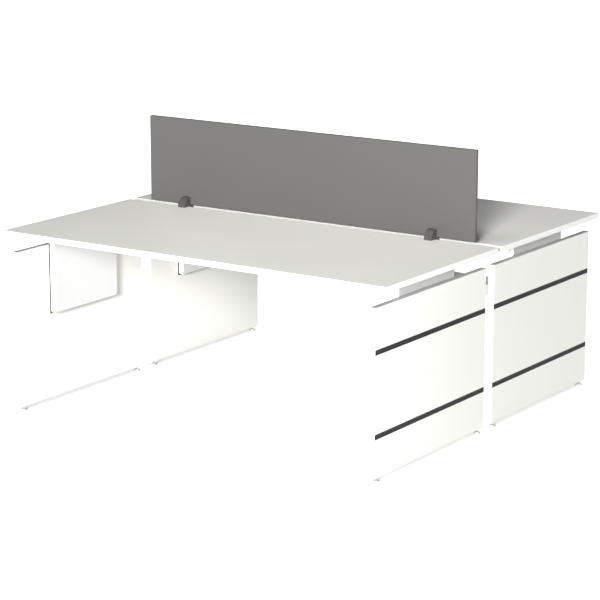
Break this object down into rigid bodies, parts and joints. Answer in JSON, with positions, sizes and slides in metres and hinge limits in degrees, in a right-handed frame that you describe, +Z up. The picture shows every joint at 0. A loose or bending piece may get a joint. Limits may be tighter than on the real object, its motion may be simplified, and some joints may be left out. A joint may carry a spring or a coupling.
{
  "type": "benching desk",
  "caption": "Double bench desk: worktops back to back on slab end panels with riser boards, inlay stripes, levelling feet and a clamped privacy screen over the cable slot.",
  "frame": {"origin": "on the floor under the middle of the slot between the worktops", "axes": "+X along the worktops, +Y from the front seat to the rear seat, +Z up"},
  "size_m": [1.8, 1.66, 1.108],
  "materials": {
    "worktop": "matt grey laminate",
    "edge_band": "white edge band",
    "white_board": "satin white laminate",
    "inlay": "dark grey, matt",
    "screen": "mid grey laminate, matt",
    "clamp": "dark grey powder coat",
    "painted_steel": "white powder coat",
    "zinc_steel": "bright zinc plate",
    "knob": "moulded, matt",
    "foot_pad": "moulded, matt"
  },
  "bodies": {
    "desk": {"worktop_front": "worktop", "edge_band_front": "edge_band", "stiffening_rail_front": "painted_steel", "end_panel_front_left": "white_board", "inlay_front_left_lower": "inlay", "inlay_front_left_upper": "inlay", "riser_front_left": "white_board", "angle_front_left": "painted_steel", "foot_insert_front_left_inner": "zinc_steel", "foot_insert_front_left_outer": "zinc_steel", "end_panel_front_right": "white_board", "inlay_front_right_lower": "inlay", "inlay_front_right_upper": "inlay", "riser_front_right": "white_board", "angle_front_right": "painted_steel", "foot_insert_front_right_inner": "zinc_steel", "foot_insert_front_right_outer": "zinc_steel", "worktop_rear": "worktop", "edge_band_rear": "edge_band", "stiffening_rail_rear": "painted_steel", "end_panel_rear_left": "white_board", "inlay_rear_left_lower": "inlay", "inlay_rear_left_upper": "inlay", "riser_rear_left": "white_board", "angle_rear_left": "painted_steel", "foot_insert_rear_left_inner": "zinc_steel", "foot_insert_rear_left_outer": "zinc_steel", "end_panel_rear_right": "white_board", "inlay_rear_right_lower": "inlay", "inlay_rear_right_upper": "inlay", "riser_rear_right": "white_board", "angle_rear_right": "painted_steel", "foot_insert_rear_right_inner": "zinc_steel", "foot_insert_rear_right_outer": "zinc_steel", "cable_tray": "painted_steel", "privacy_screen": "screen", "clamp_saddle_left": "clamp", "clamp_bolt_left": "zinc_steel", "clamp_saddle_right": "clamp", "clamp_bolt_right": "zinc_steel"},
    "foot_stud_front_left_inner": {"foot_stud_front_left_inner": "zinc_steel"},
    "foot_pad_front_left_inner": {"foot_pad_front_left_inner": "foot_pad"},
    "foot_stud_front_left_outer": {"foot_stud_front_left_outer": "zinc_steel"},
    "foot_pad_front_left_outer": {"foot_pad_front_left_outer": "foot_pad"},
    "foot_stud_front_right_inner": {"foot_stud_front_right_inner": "zinc_steel"},
    "foot_pad_front_right_inner": {"foot_pad_front_right_inner": "foot_pad"},
    "foot_stud_front_right_outer": {"foot_stud_front_right_outer": "zinc_steel"},
    "foot_pad_front_right_outer": {"foot_pad_front_right_outer": "foot_pad"},
    "foot_stud_rear_left_inner": {"foot_stud_rear_left_inner": "zinc_steel"},
    "foot_pad_rear_left_inner": {"foot_pad_rear_left_inner": "foot_pad"},
    "foot_stud_rear_left_outer": {"foot_stud_rear_left_outer": "zinc_steel"},
    "foot_pad_rear_left_outer": {"foot_pad_rear_left_outer": "foot_pad"},
    "foot_stud_rear_right_inner": {"foot_stud_rear_right_inner": "zinc_steel"},
    "foot_pad_rear_right_inner": {"foot_pad_rear_right_inner": "foot_pad"},
    "foot_stud_rear_right_outer": {"foot_stud_rear_right_outer": "zinc_steel"},
    "foot_pad_rear_right_outer": {"foot_pad_rear_right_outer": "foot_pad"},
    "clamp_plate_left": {"clamp_plate_left": "painted_steel"},
    "clamp_knob_left": {"clamp_knob_left": "knob"},
    "clamp_plate_right": {"clamp_plate_right": "painted_steel"},
    "clamp_knob_right": {"clamp_knob_right": "knob"}
  },
  "joints": [
    {"name": "foot_climb_front_left_inner", "type": "slide", "parent": "desk", "child": "foot_pad_front_left_inner", "axis": [0, 0, -1], "range_m": [0, 0.012]},
    {"name": "foot_turn_front_left_inner", "type": "hinge", "parent": "foot_pad_front_left_inner", "child": "foot_stud_front_left_inner", "pos_m": [-0.8425, -0.06, 0.012], "axis": [0, 0, -1], "range_deg": [0, 3456]},
    {"name": "foot_climb_front_left_outer", "type": "slide", "parent": "desk", "child": "foot_pad_front_left_outer", "axis": [0, 0, -1], "range_m": [0, 0.012]},
    {"name": "foot_turn_front_left_outer", "type": "hinge", "parent": "foot_pad_front_left_outer", "child": "foot_stud_front_left_outer", "pos_m": [-0.8425, -0.8, 0.012], "axis": [0, 0, -1], "range_deg": [0, 3456]},
    {"name": "foot_climb_front_right_inner", "type": "slide", "parent": "desk", "child": "foot_pad_front_right_inner", "axis": [0, 0, -1], "range_m": [0, 0.012]},
    {"name": "foot_turn_front_right_inner", "type": "hinge", "parent": "foot_pad_front_right_inner", "child": "foot_stud_front_right_inner", "pos_m": [0.8425, -0.06, 0.012], "axis": [0, 0, -1], "range_deg": [0, 3456]},
    {"name": "foot_climb_front_right_outer", "type": "slide", "parent": "desk", "child": "foot_pad_front_right_outer", "axis": [0, 0, -1], "range_m": [0, 0.012]},
    {"name": "foot_turn_front_right_outer", "type": "hinge", "parent": "foot_pad_front_right_outer", "child": "foot_stud_front_right_outer", "pos_m": [0.8425, -0.8, 0.012], "axis": [0, 0, -1], "range_deg": [0, 3456]},
    {"name": "foot_climb_rear_left_inner", "type": "slide", "parent": "desk", "child": "foot_pad_rear_left_inner", "axis": [0, 0, -1], "range_m": [0, 0.012]},
    {"name": "foot_turn_rear_left_inner", "type": "hinge", "parent": "foot_pad_rear_left_inner", "child": "foot_stud_rear_left_inner", "pos_m": [-0.8425, 0.06, 0.012], "axis": [0, 0, -1], "range_deg": [0, 3456]},
    {"name": "foot_climb_rear_left_outer", "type": "slide", "parent": "desk", "child": "foot_pad_rear_left_outer", "axis": [0, 0, -1], "range_m": [0, 0.012]},
    {"name": "foot_turn_rear_left_outer", "type": "hinge", "parent": "foot_pad_rear_left_outer", "child": "foot_stud_rear_left_outer", "pos_m": [-0.8425, 0.8, 0.012], "axis": [0, 0, -1], "range_deg": [0, 3456]},
    {"name": "foot_climb_rear_right_inner", "type": "slide", "parent": "desk", "child": "foot_pad_rear_right_inner", "axis": [0, 0, -1], "range_m": [0, 0.012]},
    {"name": "foot_turn_rear_right_inner", "type": "hinge", "parent": "foot_pad_rear_right_inner", "child": "foot_stud_rear_right_inner", "pos_m": [0.8425, 0.06, 0.012], "axis": [0, 0, -1], "range_deg": [0, 3456]},
    {"name": "foot_climb_rear_right_outer", "type": "slide", "parent": "desk", "child": "foot_pad_rear_right_outer", "axis": [0, 0, -1], "range_m": [0, 0.012]},
    {"name": "foot_turn_rear_right_outer", "type": "hinge", "parent": "foot_pad_rear_right_outer", "child": "foot_stud_rear_right_outer", "pos_m": [0.8425, 0.8, 0.012], "axis": [0, 0, -1], "range_deg": [0, 3456]},
    {"name": "clamp_release_left", "type": "slide", "parent": "desk", "child": "clamp_plate_left", "axis": [0, 0, -1], "range_m": [0, 0.01]},
    {"name": "clamp_knob_turn_left", "type": "hinge", "parent": "clamp_plate_left", "child": "clamp_knob_left", "pos_m": [-0.6, 0, 0.7], "axis": [0, 0, -1], "range_deg": [0, 2880]},
    {"name": "clamp_release_right", "type": "slide", "parent": "desk", "child": "clamp_plate_right", "axis": [0, 0, -1], "range_m": [0, 0.01]},
    {"name": "clamp_knob_turn_right", "type": "hinge", "parent": "clamp_plate_right", "child": "clamp_knob_right", "pos_m": [0.6, 0, 0.7], "axis": [0, 0, -1], "range_deg": [0, 2880]}
  ],
  "couplings": [
    {"joint": "foot_turn_front_left_inner", "follows": "foot_climb_front_left_inner", "rad_per_m": 5026.5},
    {"joint": "foot_turn_front_left_outer", "follows": "foot_climb_front_left_outer", "rad_per_m": 5026.5},
    {"joint": "foot_turn_front_right_inner", "follows": "foot_climb_front_right_inner", "rad_per_m": 5026.5},
    {"joint": "foot_turn_front_right_outer", "follows": "foot_climb_front_right_outer", "rad_per_m": 5026.5},
    {"joint": "foot_turn_rear_left_inner", "follows": "foot_climb_rear_left_inner", "rad_per_m": 5026.5},
    {"joint": "foot_turn_rear_left_outer", "follows": "foot_climb_rear_left_outer", "rad_per_m": 5026.5},
    {"joint": "foot_turn_rear_right_inner", "follows": "foot_climb_rear_right_inner", "rad_per_m": 5026.5},
    {"joint": "foot_turn_rear_right_outer", "follows": "foot_climb_rear_right_outer", "rad_per_m": 5026.5},
    {"joint": "clamp_knob_turn_left", "follows": "clamp_release_left", "rad_per_m": 5026.5},
    {"joint": "clamp_knob_turn_right", "follows": "clamp_release_right", "rad_per_m": 5026.5}
  ]
}
